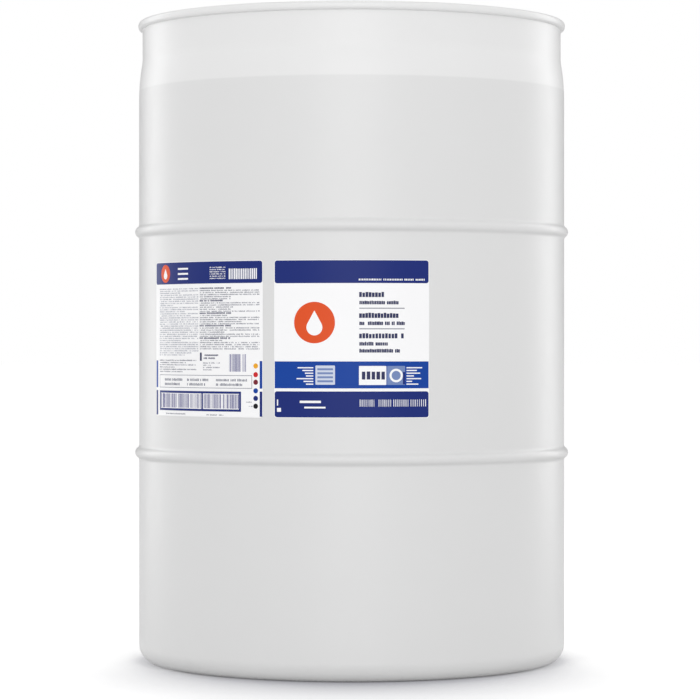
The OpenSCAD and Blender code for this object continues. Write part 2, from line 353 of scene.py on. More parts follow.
def make_moulded_skin():
    number = "NodeSocketFloat"
    tree, given, result = new_group("moulded_skin", "ShaderNodeTree", {
        "Peel size": 0.02, "Peel depth": 0.0001, "Grain size": 0.001, "Grain depth": 0.00001,
        "Drift": 0.02, "Roughness": 0.4,
    }, {"Tone": number, "Roughness": number, "Normal": "NodeSocketVector"})
    place = object_place(tree)

    def noise(size, detail):
        scale = calculate(tree, "DIVIDE", 1.0, size)
        return add_node(tree, "ShaderNodeTexNoise", {
            "Vector": place, "Scale": scale, "Detail": detail, "Roughness": 0.5}).outputs["Fac"]

    def swing(source, reach):
        """How far a noise moves a value up or down."""
        return times(tree, calculate(tree, "SUBTRACT", source, 0.5), reach)

    peel = noise(given["Peel size"], 2.0)
    grain = noise(given["Grain size"], 1.0)
    drift = noise(times(tree, given["Peel size"], DRIFT_SIZE), 3.0)
    height = calculate(tree, "ADD", times(tree, peel, given["Peel depth"]),
                       times(tree, grain, given["Grain depth"]))
    feed(tree, result, {
        "Tone": calculate(tree, "ADD", 1.0, swing(drift, given["Drift"])),
        "Roughness": calculate(tree, "ADD", given["Roughness"], swing(peel, ROUGHNESS_SWING)),
        "Normal": add_node(tree, "ShaderNodeBump", {
            "Height": height, "Distance": 1.0, "Strength": 1.0})})
    return tree


moulded_skin = make_moulded_skin()


# %% Materials that wear the skin
def mix_colour(tree, factor, first, second, blend_type="MIX"):
    """A Mix node for colours; 0, 6, 7 and 2 are the numbers of its colour sockets."""
    node = add_node(tree, "ShaderNodeMix", {0: factor, 6: first, 7: second},
                    data_type="RGBA", blend_type=blend_type)
    return node.outputs[2]


def skin(peel_size, peel_depth, grain_size, grain_depth, drift, roughness):
    """Inputs for the moulded skin, with sizes and depths in millimetres."""
    return {"Peel size": peel_size * MM, "Peel depth": peel_depth * MM,
            "Grain size": grain_size * MM, "Grain depth": grain_depth * MM,
            "Drift": drift, "Roughness": roughness}


def skinned_material(name, colour, skin_values, **plain):
    """A material with the moulded skin. colour is a colour, or makes a colour socket in a tree.
    plain holds values that are the same all over, by the name of the shader's socket."""
    material = bpy.data.materials.new(name)
    material.use_nodes = True
    tree = material.node_tree
    worn = add_node(tree, "ShaderNodeGroup", skin_values, node_tree=moulded_skin).outputs
    base = colour(tree) if callable(colour) else (*colour, 1)
    feed(tree, tree.nodes["Principled BSDF"], {
        "Base Color": mix_colour(tree, 1.0, base, worn["Tone"], "MULTIPLY"),
        "Roughness": worn["Roughness"], "Normal": worn["Normal"],
        **{label.replace("_", " "): value for label, value in plain.items()}})
    return material


# %% [markdown]
# ## The drum's milky wall
# The wall lets a little light through, so it looks lighter where there is only air behind it.
# The material paints this by the height on the drum, with a narrow step at the liquid's surface. Below
# the step it also darkens slightly towards the floor, as painted shade for the light that falls off
# near the floor.

# %% The drum's plastic
LIQUID_TONE = (0.76, 0.76, 0.76)
AIR_TONE = (0.825, 0.825, 0.825)
# The foot's tone is darker than the liquid's as painted shade, where less light reaches near the
# floor.
PAINTED_SHADE_FOOT_TONE = (0.73, 0.73, 0.73)
meniscus = 1.6 * MM


def wall_colour(tree):
    """The tone of the wall by height: the foot, darkened by painted shade, then the liquid, then the
    air.
    """
    height = split(tree, object_place(tree))["Z"]
    # Painted shade: the wall darkens from the liquid's surface down to the floor.
    depth = ramp(tree, height, 0.0, fill_z)
    air = ramp(tree, height, fill_z - meniscus, fill_z + meniscus, kind="SMOOTHSTEP")
    wet_with_painted_shade = mix_colour(tree, depth, (*PAINTED_SHADE_FOOT_TONE, 1), (*LIQUID_TONE, 1))
    return mix_colour(tree, air, wet_with_painted_shade, (*AIR_TONE, 1))


# The drum's plastic carries the wall's tone by height, its painted shade at the foot included.
drum_plastic = skinned_material("drum_plastic", wall_colour, skin(30, 0.05, 1.2, 0.004, 0.02, 0.36))

# %% [markdown]
# ## The drum as a turned shape
# Everything on the drum but its necks is the same all the way round, so one half section turned
# about the axis makes it. The section is drawn with true arcs for the ribs, the shoulder and the
# ring, outside and inside. A Geometry Nodes tree turns any section, so the necks and their bores
# come from it too.

# %% Points of the half section
def arc(mid_r, mid_z, radius, start, end, steps):
    """Points on an arc in the half section, with its angles in degrees."""
    turns = [math.radians(start + (end - start) * i / steps) for i in range(steps + 1)]
    return [(mid_r + radius * math.cos(t), mid_z + radius * math.sin(t)) for t in turns]


def chain(arcs, support=1.5 * MM):
    """Joins arcs with straight stretches. A long stretch gets a point near each end, which
    keeps the smooth shading of the arcs out of it."""
    points = list(arcs[0])
    for piece in arcs[1:]:
        (r0, z0), (r1, z1) = points[-1], piece[0]
        gap = math.hypot(r1 - r0, z1 - z0)
        if gap > 4 * support:
            for share in (support / gap, 1 - support / gap):
                points.append((r0 + (r1 - r0) * share, z0 + (z1 - z0) * share))
        if gap < 1e-7:
            piece = piece[1:]
        points.extend(piece)
    return points


def shallow_arc(edge_r, edge_z, rise, inset, steps):
    """The shallow dome over a disc, from the middle out to the edge, moved up by inset."""
    arc_r = (edge_r ** 2 + rise ** 2) / (2 * rise)
    mid_z = edge_z + rise - arc_r
    reach = math.degrees(math.acos((arc_r - rise + inset) / (arc_r + inset)))
    return arc(0, mid_z, arc_r + inset, 90, 90 - reach, steps)


# %% The wall's outline, which the inside repeats one wall thickness in
def rib_outline(mid_z, inset, fine):
    """A rolling rib: a root, the crest and a root, which touch each other."""
    reach = rib_crest_r + rib_root_r
    lean = math.degrees(math.acos((reach - rib_out) / reach))
    half_h = reach * math.sin(math.radians(lean))
    root_r = body_r + rib_root_r
    crest_r = body_r + rib_out - rib_crest_r
    return [
        arc(root_r, mid_z - half_h, rib_root_r + inset, 180, 180 - lean, fine),
        arc(crest_r, mid_z, rib_crest_r - inset, -lean, lean, 2 * fine),
        arc(root_r, mid_z + half_h, rib_root_r + inset, 180 + lean, 180, fine),
    ]


def wall_outline(inset, fine):
    """From the middle of the base, under the foot and up the wall to the top of the shoulder."""
    corner_r = base_recess_h - foot_edge_r
    recess_r = body_r - base_corner_r - foot_w - foot_edge_r
    dome_r = recess_r - corner_r - base_flat_w
    shoulder_z0 = drum_h - shoulder_drop
    sweep = 2 * math.degrees(math.atan(neck_in / shoulder_h))
    round_r = shoulder_h / math.sin(math.radians(sweep)) - shoulder_hollow_r
    pieces = [
        shallow_arc(dome_r, base_recess_h, base_dome_h, inset, fine),
        arc(recess_r - corner_r, foot_edge_r, corner_r + inset, 90, 0, fine),
        arc(recess_r + foot_edge_r, foot_edge_r, foot_edge_r - inset, 180, 270, fine),
        arc(body_r - base_corner_r, base_corner_r, base_corner_r - inset, -90, 0, 2 * fine),
    ]
    for side in (-1, 1):
        pieces += rib_outline(drum_h / 2 + side * rib_spacing / 2, inset, fine)
    pieces += [
        arc(body_r - round_r, shoulder_z0, round_r - inset, 0, sweep, fine),
        arc(neck_r + shoulder_hollow_r, shoulder_z0 + shoulder_h,
            shoulder_hollow_r + inset, 180 + sweep, 180, fine),
    ]
    return pieces


# %% The ring and the deck close the outline at the top
def deck_crown(inset, fine):
    """The raised middle of the deck, from the gutter in to the axis."""
    return shallow_arc(ring_in_r - gutter_w, deck_z, deck_crown_h, inset, fine)[::-1]


def outside_outline(fine):
    edge_r = neck_r + lip_out - lip_edge_r
    lip_z = drum_h - lip_h
    return chain(wall_outline(0, fine) + [
        [(neck_r, lip_z)],
        arc(edge_r, lip_z + lip_edge_r, lip_edge_r, -90, 0, fine),
        arc(edge_r, drum_h - lip_edge_r, lip_edge_r, 0, 90, fine),
        arc(ring_in_r + lip_inner_r, drum_h - lip_inner_r, lip_inner_r, 90, 180, fine),
        arc(ring_in_r - deck_corner_r, deck_z + deck_corner_r, deck_corner_r, 0, -90, fine),
        deck_crown(0, fine),
    ])


def inside_outline(fine):
    top = [[(neck_r - wall, deck_z - wall)], deck_crown(-wall, fine)]
    return chain(wall_outline(wall, fine) + top)[::-1]


outside = outside_outline(8)
inside = inside_outline(3)
print(f"half section: {len(outside)} points outside, {len(inside)} inside")

# %% Sections become edge meshes that a tree can turn
def section_mesh(name, outlines):
    """Edges along each outline, as the X and Y of a profile."""
    points, edges = [], []
    for outline in outlines:
        first = len(points)
        points += [(r, z, 0) for r, z in outline]
        edges += [(i, i + 1) for i in range(first, len(points) - 1)]
    mesh = bpy.data.meshes.new(name)
    mesh.from_pydata(points, edges, [])
    return mesh


# %% What the geometry trees share
def new_maker(name, inputs):
    """A group that makes a geometry out of a geometry, these inputs and a material."""
    shape = {"Geometry": "NodeSocketGeometry"}
    return new_group(name, "GeometryNodeTree",
                     {**shape, **inputs, "Material": "NodeSocketMaterial"}, shape)


def made_real(tree, geometry):
    """Instances become real faces."""
    return add_node(tree, "GeometryNodeRealizeInstances", {"Geometry": geometry})


def close_maker(tree, given, result, geometry):
    """Puts the material on the geometry and hands it out."""
    feed(tree, result, {"Geometry": add_node(tree, "GeometryNodeSetMaterial", {
        "Geometry": geometry, "Material": given["Material"]})})
    return tree


# %% The tree that turns a section about the Z axis
SEAM_GAP = 0.00001
WALL_SEGMENTS = 240
NECK_SEGMENTS = 96


def make_lathe():
    tree, given, result = new_maker("lathe", {"Path radius": 0.3, "Segments": WALL_SEGMENTS})
    back = add_node(tree, "ShaderNodeCombineXYZ", {"X": times(tree, given["Path radius"], -1.0)})
    moved = add_node(tree, "GeometryNodeTransform", {
        "Geometry": given["Geometry"], "Translation": back, "Scale": (1, -1, 1)})
    profile = add_node(tree, "GeometryNodeMeshToCurve", {"Mesh": moved})
    path = add_node(tree, "GeometryNodeCurvePrimitiveCircle", {
        "Resolution": given["Segments"], "Radius": given["Path radius"]}, mode="RADIUS")
    upright = add_node(tree, "GeometryNodeSetCurveNormal", {"Curve": path}, mode="Z_UP")
    turned = add_node(tree, "GeometryNodeCurveToMesh", {"Curve": upright, "Profile Curve": profile})
    merged = add_node(tree, "GeometryNodeMergeByDistance", {"Geometry": turned, "Distance": SEAM_GAP})
    return close_maker(tree, given, result, made_real(tree, merged))


lathe = make_lathe()

# %% Run a tree on a mesh and keep the result as a plain mesh
def apply_modifiers(made):
    """Keeps what an object's modifiers make of it as its mesh."""
    graph = bpy.context.evaluated_depsgraph_get()
    made.data = bpy.data.meshes.new_from_object(made.evaluated_get(graph), depsgraph=graph)
    made.data.name = made.name
    made.modifiers.clear()


def grow(name, start_mesh, tree, values):
    """An object whose mesh is what the tree makes of start_mesh with these values."""
    made = new_object(name, start_mesh)
    modifier = made.modifiers.new(name, "NODES")
    modifier.node_group = tree
    for item in tree.interface.items_tree:
        if item.in_out == "INPUT" and item.name in values:
            modifier[item.identifier] = values[item.name]
    apply_modifiers(made)
    return made


def litres(mesh):
    """The volume inside a mesh, negative if its faces point inwards."""
    shape = bmesh.new()
    shape.from_mesh(mesh)
    volume = shape.calc_volume(signed=True)
    shape.free()
    return volume * 1000


def face_outwards(mesh):
    """Turns a closed mesh right side out."""
    if litres(mesh) < 0:
        mesh.flip_normals()


# %% [markdown]
# ## Necks and threads
# Each neck stands on a low pad and has a threaded bore. On the real drum they are formed with the
# deck, so they are turned from the same tree, joined to the drum and bored by the Manifold
# solver, which is made for closed meshes like these. The threads are real helices. Each plug's
# ridge and its neck's ridge lie half a pitch apart, and the joint turns and lifts along the same
# pitch, so the two slide past each other without touching.

# %% Necks and their bores
bore_r = thread_r + thread_play
neck_out_r = bore_r + bung_wall
neck_low_z = deck_z - bung_skirt
pad_z = deck_z + pad_h


def neck_outline(fine):
    """The neck and its pad, with the fillet between them and softened edges."""
    soft = 1.2 * MM
    foot = 2 * MM
    return chain([
        [(0, neck_low_z)],
        [(neck_out_r + pad_w, neck_low_z)],
        arc(neck_out_r + pad_w - soft, pad_z - soft, soft, 0, 90, fine),
        arc(neck_out_r + foot, pad_z + foot, foot, 270, 180, fine),
        arc(neck_out_r - soft, bung_z - soft, soft, 0, 90, fine),
        [(0, bung_z)],
    ])


def bore_outline():
    """The bore with a lead-in at its mouth."""
    over = 1 * MM
    lead = thread_depth / 2
    return chain([
        [(0, neck_low_z - over)],
        [(bore_r, neck_low_z - over)],
        [(bore_r, bung_z - lead)],
        [(bore_r + lead, bung_z)],
        [(bore_r + lead, bung_z + over)],
        [(0, bung_z + over)],
    ])


def turned_part(name, outlines, path_radius, segments, x=0.0):
    """A part of the drum turned from outlines about a vertical axis at x."""
    part = grow(name, section_mesh(name, outlines), lathe, {
        "Path radius": path_radius, "Segments": segments, "Material": drum_plastic})
    face_outwards(part.data)
    part.data.transform(Matrix.Translation((x, 0, 0)))
    return part


drum_blank = turned_part("drum_blank", [outside, inside], body_r, WALL_SEGMENTS)
necks, bores = (
    [turned_part(name, [outline], path_r, NECK_SEGMENTS, side * bung_r) for side in (1, -1)]
    for name, outline, path_r in (("neck_tool", neck_outline(4), neck_out_r),
                                  ("bore_tool", bore_outline(), bore_r)))
blank_faces = len(drum_blank.data.polygons)
print(f"drum blank: {blank_faces} faces, {litres(drum_blank.data):.3f} litres of plastic")


# %% Join the necks to the drum, then bore them
def make_necking():
    """Also shades the edges smooth where the faces meet at less than the sharp angle."""
    tree, given, result = new_maker("necking", {"Sharp angle": math.radians(32)})
    shape = given["Geometry"]
    for operation, first, tools in (("UNION", "Mesh 2", necks), ("DIFFERENCE", "Mesh 1", bores)):
        for tool in tools:
            boolean = add_node(tree, "GeometryNodeMeshBoolean", operation=operation, solver="MANIFOLD")
            tree.links.new(shape, boolean.inputs[first])
            other = add_node(tree, "GeometryNodeObjectInfo", {"Object": tool})
            tree.links.new(other.outputs["Geometry"], boolean.inputs["Mesh 2"])
            shape = boolean.outputs["Mesh"]
    angle = add_node(tree, "GeometryNodeInputMeshEdgeAngle").outputs["Unsigned Angle"]
    smooth = add_node(tree, "FunctionNodeCompare", {0: angle, 1: given["Sharp angle"]},
                      data_type="FLOAT", operation="LESS_THAN")
    soft_faces = add_node(tree, "GeometryNodeSetShadeSmooth", {
        "Geometry": made_real(tree, shape), "Shade Smooth": True}, domain="FACE")
    soft_edges = add_node(tree, "GeometryNodeSetShadeSmooth", {
        "Geometry": soft_faces, "Shade Smooth": smooth}, domain="EDGE")
    return close_maker(tree, given, result, soft_edges)


drum_shell = grow("drum_shell", drum_blank.data, make_necking(), {"Material": drum_plastic})
for helper in (drum_blank, *necks, *bores):
    bpy.data.objects.remove(helper)
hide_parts("drum_body")
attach(drum_shell, "drum")
print(f"drum: {len(drum_shell.data.polygons)} faces, {litres(drum_shell.data):.3f} litres")

# %% [markdown]
# ## Plugs, seals and the vent
# The plugs are injection moulded, and the gaskets are punched from soft sheet. The CAD shapes
# are right but have knife edges, so each one is copied, its triangles are merged into flat
# faces, and a narrow bevel rounds the edges as a mould does.

# %% Materials of the small pieces
plug_skin = skin(6, 0.02, 0.5, 0.006, 0.03, 0.38)
plug_plastic = skinned_material("plug_plastic", (0.71, 0.72, 0.705), plug_skin)
cap_plastic = skinned_material("cap_plastic", (0.50, 0.53, 0.57), plug_skin)
seal_rubber = skinned_material("seal_rubber", (0.55, 0.55, 0.53),
                               skin(4, 0.02, 0.25, 0.008, 0.05, 0.62))
vent_film = skinned_material("vent_film", (0.86, 0.86, 0.86), skin(1, 0.01, 0.12, 0.01, 0.03, 0.75))
liquid = skinned_material("liquid", (0.80, 0.83, 0.62), skin(80, 0.02, 10, 0.0, 0.02, 0.08),
                          IOR=1.34, Transmission_Weight=0.75)

# These two nodes keep their CAD shape and get a material in place of the plain one.
for node_name, material in (("bleach", liquid), ("vent_membrane", vent_film)):
    worn = nodes[node_name].data.materials
    worn.clear()
    worn.append(material)

# %% Soften the edges of a CAD node's copy
WELD_GAP = 0.000005
FLAT_ANGLE = math.radians(1)
EDGE_ANGLE = math.radians(40)


def softened(node_name, body, material, width):
    """A merged copy of a node with rounded edges, which stands for the node."""
    mesh = nodes[node_name].data.copy()
    mesh.name = node_name + "_soft"
    shape = bmesh.new()
    shape.from_mesh(mesh)
    bmesh.ops.remove_doubles(shape, verts=shape.verts, dist=WELD_GAP)
    bmesh.ops.dissolve_limit(shape, angle_limit=FLAT_ANGLE, verts=shape.verts, edges=shape.edges)
    shape.to_mesh(mesh)
    shape.free()
    mesh.materials.clear()
    mesh.materials.append(material)
    mesh.shade_smooth()
    part = new_object(mesh.name, mesh)
    bevel = part.modifiers.new("edges", "BEVEL")
    bevel.width = width
    bevel.segments = 2
    bevel.limit_method = "ANGLE"
    bevel.angle_limit = EDGE_ANGLE
    bevel.harden_normals = True
    apply_modifiers(part)
    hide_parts(node_name)
    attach(part, body)
    return part


SOFT_PIECES = (
    ("coarse_plug", "coarse_closure", "plug_plastic", plug_plastic, 0.4),
    ("fine_plug", "fine_closure", "plug_plastic", plug_plastic, 0.4),
    ("vent_cap", "coarse_closure", "cap_plastic", cap_plastic, 0.25),
    ("coarse_gasket", "coarse_seal", "seal_rubber", seal_rubber, 0.4),
    ("fine_gasket", "fine_seal", "seal_rubber", seal_rubber, 0.4),
)
for node_name, body, slot_name, material, width in SOFT_PIECES:
    made = softened(node_name, body, material, width * MM)
    print(f"{made.name}: {len(made.data.polygons)} faces")

# %% The tree that winds a thread
TAPER_TURNS = 0.35
TAPER_END = 0.05


def make_winding():
    """A ridge along a helix, with both ends tapered away."""
    tree, given, result = new_maker("winding", {
        "Radius": 0.03, "Pitch": 0.005, "Turns": 4.0, "Low end": (0.0, 0.0, 0.0)})
    height = times(tree, given["Pitch"], given["Turns"])
    spiral = add_node(tree, "GeometryNodeCurveSpiral", {
        "Resolution": 64, "Rotations": given["Turns"], "Start Radius": given["Radius"],
        "End Radius": given["Radius"], "Height": height, "Reverse": True})
    upright = add_node(tree, "GeometryNodeSetCurveNormal", {"Curve": spiral}, mode="Z_UP")
    along = add_node(tree, "GeometryNodeSplineParameter").outputs["Factor"]
    edge = calculate(tree, "MINIMUM", along, calculate(tree, "SUBTRACT", 1.0, along))
    turns_in = times(tree, edge, given["Turns"])
    taper = ramp(tree, turns_in, 0.0, TAPER_TURNS, TAPER_END, 1.0)
    profile = add_node(tree, "GeometryNodeMeshToCurve", {"Mesh": given["Geometry"]})
    ridge = add_node(tree, "GeometryNodeCurveToMesh", {
        "Curve": upright, "Profile Curve": profile, "Scale": taper, "Fill Caps": True})
    moved = add_node(tree, "GeometryNodeTransform", {
        "Geometry": ridge, "Translation": given["Low end"]})
    return close_maker(tree, given, result, made_real(tree, moved))


winding = make_winding()

# Half the ridge's height at its root and at its crest, as shares of the pitch.
root_share = 0.36
crest_share = 0.08
coarse_pitch = 5.08 * MM
fine_pitch = 2.2087 * MM
shank_r = thread_r - thread_depth
neck_thread_depth = 1.2 * MM
thread_sunk = 0.3 * MM
thread_low_z = plug_low_z + 1 * MM
thread_high_z = bung_z - 1 * MM


def thread(name, body, material, x, pitch, root_r, reach, phase):
    """A thread ridge of this pitch. reach is how far it stands out of its root, or, when it is
    negative, into the bore. phase is its share of a pitch above the plug's own thread."""
    foot = root_share * pitch
    crest = crest_share * pitch
    sunk = -thread_sunk if reach > 0 else thread_sunk
    outline = [(sunk, -foot), (sunk, foot), (reach, crest), (reach, -crest)]
    mesh = bpy.data.meshes.new(name)
    mesh.from_pydata([(r, z, 0) for r, z in outline], [(0, 1), (1, 2), (2, 3), (3, 0)], [])
    start_z = thread_low_z + foot + phase * pitch
    part = grow(name, mesh, winding, {
        "Radius": root_r, "Pitch": pitch, "Turns": (thread_high_z - foot - start_z) / pitch,
        "Low end": (x, 0, start_z), "Material": material})
    face_outwards(part.data)
    part.data.shade_smooth()
    part.data.set_sharp_from_angle(angle=math.radians(30))
    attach(part, body)
    print(f"{name}: {litres(part.data) * 1e6:.0f} mm3")


for label, side, pitch in (("coarse", 1, coarse_pitch), ("fine", -1, fine_pitch)):
    thread(f"{label}_plug_thread", f"{label}_closure", plug_plastic,
           side * bung_r, pitch, shank_r, thread_depth, 0.0)
    thread(f"{label}_neck_thread", "drum", drum_plastic,
           side * bung_r, pitch, bore_r, -neck_thread_depth, 0.5)

# %% [markdown]
# ## Labels
# Each label is a printed film on the wall. The print is laid out flat, in millimetres from the
# film's middle and from its lower edge, and a small tree bends everything round the wall. The
# inks are thin pads that stand one above the other, a few hundredths of a millimetre thick, so
# their edges stay crisp from any distance. The layout keeps the photo's fields of colour, and
# every line of print is a row of plain marks.

# %% Inks
film_skin = skin(45, 0.03, 0.4, 0.0015, 0.015, 0.34)


def srgb(red, green, blue):
    """A colour written as it looks on a screen, 0 to 255, as the shader's linear values."""
    shares = [c / 255 for c in (red, green, blue)]
    return tuple(c / 12.92 if c <= 0.04045 else ((c + 0.055) / 1.055) ** 2.4 for c in shares)


INK_COLOURS = {
    "white": (252, 252, 253),
    "navy": (27, 44, 118),
    "blue": (17, 67, 158),
    "pale": (208, 215, 232),
    "steel": (120, 140, 188),
    "ash": (158, 161, 174),
    "grey": (112, 115, 132),
    "dark": (50, 54, 92),
    "lilac": (92, 92, 146),
    "orange": (226, 84, 38),
    "yellow": (240, 170, 44),
    "red": (206, 42, 48),
    "maroon": (122, 34, 48),
    "black": (28, 28, 32),
}
inks = {
    name: skinned_material("ink_" + name, srgb(*colour), film_skin, Specular_IOR_Level=0.16)
    for name, colour in INK_COLOURS.items()
}
print("inks:", ", ".join(inks))

# %% The tree that bends flat print round the wall
# Each ink stands a share of its thickness deep in what lies under it, so that no two faces coincide.
glue_t = 0.1 * MM
film_t = 0.3 * MM
ink_t = 0.04 * MM
mark_t = 1.5 * ink_t
pad_sink = 0.5
mark_sink = 0.3
seat_r = body_r + glue_t


def bend_round(tree, geometry, turn):
    """X becomes an angle and Y a height above the wall. The real film bends in the same way."""
    flat = split(tree, add_node(tree, "GeometryNodeInputPosition"))
    angle = calculate(tree, "ADD", calculate(tree, "DIVIDE", flat["X"], body_r), turn)
    radius = calculate(tree, "SUBTRACT", seat_r, flat["Y"])
    x = times(tree, radius, calculate(tree, "SINE", angle))
    y = times(tree, times(tree, radius, -1.0), calculate(tree, "COSINE", angle))
    bent = add_node(tree, "ShaderNodeCombineXYZ", {"X": x, "Y": y, "Z": flat["Z"]})
    return add_node(tree, "GeometryNodeSetPosition", {"Geometry": geometry, "Position": bent})


def close_print(tree, given, result, geometry):
    """Makes the print real, bends it round the wall and gives it its ink."""
    bent = bend_round(tree, made_real(tree, geometry), given["Turn"])
    return close_maker(tree, given, result, bent)


def make_pad_tree():
    tree, given, result = new_maker("bend_pads", {"Turn": 0.0})
    return close_print(tree, given, result, given["Geometry"])


# %% The tree that draws a row of marks
def make_marks_tree():
    """Each edge of the input is one row. Points along it carry upright marks of random width
    and height, and a missing mark leaves a gap now and then."""
    tree, given, result = new_maker("row_of_marks", {
        "Pitch": 0.002, "Tall": 0.004, "Least width": 0.4, "Most width": 0.8,
        "Least height": 0.7, "Gap chance": 0.15, "Seed": 1, "Turn": 0.0})
    line = add_node(tree, "GeometryNodeMeshToCurve", {"Mesh": given["Geometry"]})
    points = add_node(tree, "GeometryNodeCurveToPoints", {
        "Curve": line, "Length": given["Pitch"]}, mode="LENGTH")

    def chance(seed_step, low=0.0, high=1.0):
        """A random number for each point; 2 and 3 are the sockets of its limits."""
        seed = calculate(tree, "ADD", given["Seed"], seed_step)
        return add_node(tree, "FunctionNodeRandomValue", {"Seed": seed, 2: low, 3: high},
                        data_type="FLOAT").outputs[1]

    gap = add_node(tree, "FunctionNodeCompare", {0: chance(0), 1: given["Gap chance"]},
                   data_type="FLOAT", operation="LESS_THAN")
    kept = add_node(tree, "GeometryNodeDeleteGeometry", {
        "Geometry": points.outputs["Points"], "Selection": gap}, domain="POINT")
    box = add_node(tree, "GeometryNodeMeshCube", {"Size": (1, 1, 1)})
    stood = add_node(tree, "GeometryNodeTransform", {
        "Geometry": box.outputs["Mesh"], "Translation": (0, -0.5, 0.5)})
    wide = chance(1, given["Least width"], given["Most width"])
    high = chance(2, given["Least height"], 1.0)
    size = add_node(tree, "ShaderNodeCombineXYZ", {
        "X": times(tree, wide, given["Pitch"]), "Y": mark_t,
        "Z": times(tree, high, given["Tall"])})
    marks = add_node(tree, "GeometryNodeInstanceOnPoints", {
        "Points": kept, "Instance": stood, "Scale": size})
    return close_print(tree, given, result, marks)


pad_tree = make_pad_tree()
marks_tree = make_marks_tree()

# %% Flat pads from columns
def pad(mesh_data, columns, level):
    """A closed thin pad. columns are (along, low, high) in millimetres from left to right, and
    level is how many inks lie under it; level None is the film itself."""
    base = 0.0 if level is None else film_t + (level - pad_sink) * ink_t
    top = film_t if level is None else film_t + (level + 1) * ink_t
    points, faces = mesh_data
    first = len(points)
    for along, low, high in columns:
        for lift, up in ((base, low), (top, low), (top, high), (base, high)):
            points.append((along * MM, -lift, label_low_z + up * MM))
    for i in range(len(columns) - 1):
        a = first + 4 * i
        for k in range(4):
            n = (k + 1) % 4
            faces.append((a + k, a + n, a + 4 + n, a + 4 + k))
    last = first + 4 * (len(columns) - 1)
    faces.append((first, first + 3, first + 2, first + 1))
    faces.append((last, last + 1, last + 2, last + 3))


def steps_between(start, stop, most=4.0):
    """Places from start to stop at most this far apart, so that a long pad bends smoothly."""
    count = max(1, math.ceil((stop - start) / most))
    return [start + (stop - start) * i / count for i in range(count + 1)]


def bar(left, right, low, high):
    """Columns of a plain rectangle."""
    return [(s, low, high) for s in steps_between(left, right)]


def rounded(left, right, low, high, corner, fine=6):
    """Columns of a rectangle with round corners."""
    ends = []
    for i in range(fine + 1):
        t = math.radians(90 * i / fine)
        ends.append((corner * (1 - math.cos(t)), corner * (1 - math.sin(t))))
    columns = [(left + ds, low + dz, high - dz) for ds, dz in ends]
    columns += bar(left + corner, right - corner, low, high)[1:-1]
    columns += [(right - ds, low + dz, high - dz) for ds, dz in reversed(ends)]
    return trimmed(columns)


def disc(along, up, radius, fine=40):
    """Columns of a disc."""
    columns = []
    for i in range(fine + 1):
        t = math.pi * i / fine
        half = radius * math.sin(t)
        columns.append((along - radius * math.cos(t), up - half, up + half))
    return trimmed(columns)


def drop(along, up, radius, fine=32):
    """Columns of a droplet: a disc below, and two straight flanks that meet above it."""
    tip = 2.1 * radius
    touch = radius * math.cos(math.asin(radius / tip))
    touch_up = radius * radius / tip
    columns = []
    for i in range(fine + 1):
        s = -radius * math.cos(math.pi * i / fine)
        low = -math.sqrt(max(0.0, radius ** 2 - s ** 2))
        high = -low if abs(s) > touch else tip - (tip - touch_up) * abs(s) / touch
        columns.append((along + s, up + low, up + high))
    return trimmed(columns)


def trimmed(columns):
    """Gives the end columns a little height, so that the pad stays closed."""
    least = 0.02
    for i in (0, -1):
        along, low, high = columns[i]
        if high - low < least:
            middle = (high + low) / 2
            columns[i] = (along, middle - least / 2, middle + least / 2)
    return columns


# %% One label from its fields and its lines of marks
def lay_label(name, turn, fields, lines):
    """fields are (ink, level, columns); lines are (ink, level, style, [(left, right, up), ...]).
    Each group of lines has a seed of its own."""
    parts = []
    for ink in dict.fromkeys(field[0] for field in fields):
        mesh_data = ([], [])
        for field_ink, level, columns in fields:
            if field_ink == ink:
                pad(mesh_data, columns, level)
        mesh = bpy.data.meshes.new(f"{name}_{ink}")
        mesh.from_pydata(mesh_data[0], [], mesh_data[1])
        parts.append(grow(mesh.name, mesh, pad_tree, {"Turn": turn, "Material": inks[ink]}))
    for number, (ink, level, style, places) in enumerate(lines):
        lift = film_t + (level - mark_sink) * ink_t
        points = []
        for left, right, up in places:
            points += [(s * MM, -lift, label_low_z + up * MM) for s in (left, right)]
        edges = [(i, i + 1) for i in range(0, len(points), 2)]
        mesh = bpy.data.meshes.new(f"{name}_marks")
        mesh.from_pydata(points, edges, [])
        pitch, tall, least_w, most_w, least_h, gaps = style
        parts.append(grow(mesh.name, mesh, marks_tree, {
            "Pitch": pitch * MM, "Tall": tall * MM, "Least width": least_w, "Most width": most_w,
            "Least height": least_h, "Gap chance": gaps, "Seed": 7 * number + 3, "Turn": turn,
            "Material": inks[ink]}))
    return joined(name, parts)


def joined(name, parts):
    """One mesh out of several, with each part's material."""
    shape = bmesh.new()
    mesh = bpy.data.meshes.new(name)
    for part in parts:
        before = len(shape.faces)
        shape.from_mesh(part.data)
        shape.faces.ensure_lookup_table()
        material = next(worn for worn in part.data.materials if worn)
        if material.name not in mesh.materials:
            mesh.materials.append(material)
        place = mesh.materials.find(material.name)
        for face in shape.faces[before:]:
            face.material_index = place
        bpy.data.objects.remove(part)
    shape.to_mesh(mesh)
    shape.free()
    print(f"{name}: {len(mesh.polygons)} faces")
    sheet = new_object(name, mesh)
    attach(sheet, "drum")
    return sheet


# %% [markdown]
# ## The front label
# A navy head and foot, a white middle and a blue band. A plain roundel with a drop stands on the
# left, and three groups of rows on the right. The blue band has short bars and three plain tiles.

